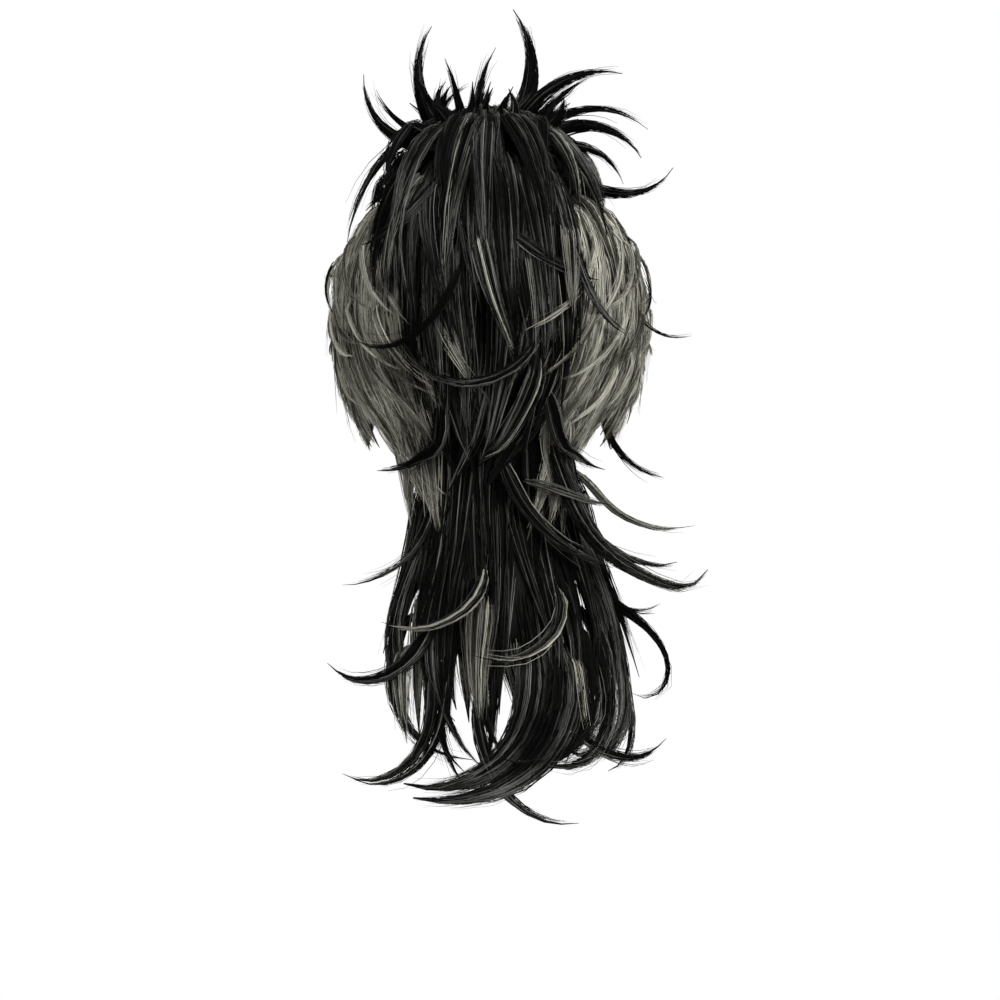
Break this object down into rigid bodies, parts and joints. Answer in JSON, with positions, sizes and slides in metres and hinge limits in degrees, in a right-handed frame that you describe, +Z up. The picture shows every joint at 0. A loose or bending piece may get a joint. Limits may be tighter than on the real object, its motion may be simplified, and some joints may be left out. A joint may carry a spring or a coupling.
{
  "type": "mullet wig",
  "caption": "Mullet wig with a spiky black crown, silver-grey sides and a long layered black tail, on a net cap.",
  "frame": {"origin": "highest point of the cap's inner surface, where the wig sits on the top of a head", "axes": "+Z up, +Y towards the wearer's face, +X towards the wearer's right, as seen from behind"},
  "size_m": [0.2412, 0.2415, 0.5052],
  "materials": {
    "cap_net": "dark elastic net",
    "black_hair": "glossy black fibre",
    "grey_hair": "silver-grey fibre",
    "streak_hair": "grey fibre among black"
  },
  "bodies": {
    "root": {"back_panel": "black_hair", "crown_tuft": "black_hair", "fringe": "black_hair", "grey_streak_1": "streak_hair", "grey_streak_2": "streak_hair", "grey_streak_3": "streak_hair", "grey_streak_4": "streak_hair", "grey_streak_5": "streak_hair", "grey_streak_6": "streak_hair", "mid_back_locks": "black_hair", "side_left": "grey_hair", "side_right": "grey_hair", "tail": "black_hair", "tail_grey_1": "streak_hair", "tail_grey_2": "streak_hair", "tail_grey_3": "streak_hair", "tail_grey_4": "streak_hair", "tail_grey_5": "streak_hair", "tail_grey_6": "streak_hair", "tail_streak_1": "streak_hair", "tail_streak_2": "streak_hair", "tail_streak_3": "streak_hair", "upper_back_locks": "black_hair", "wig_cap": "cap_net"}
  },
  "joints": []
}
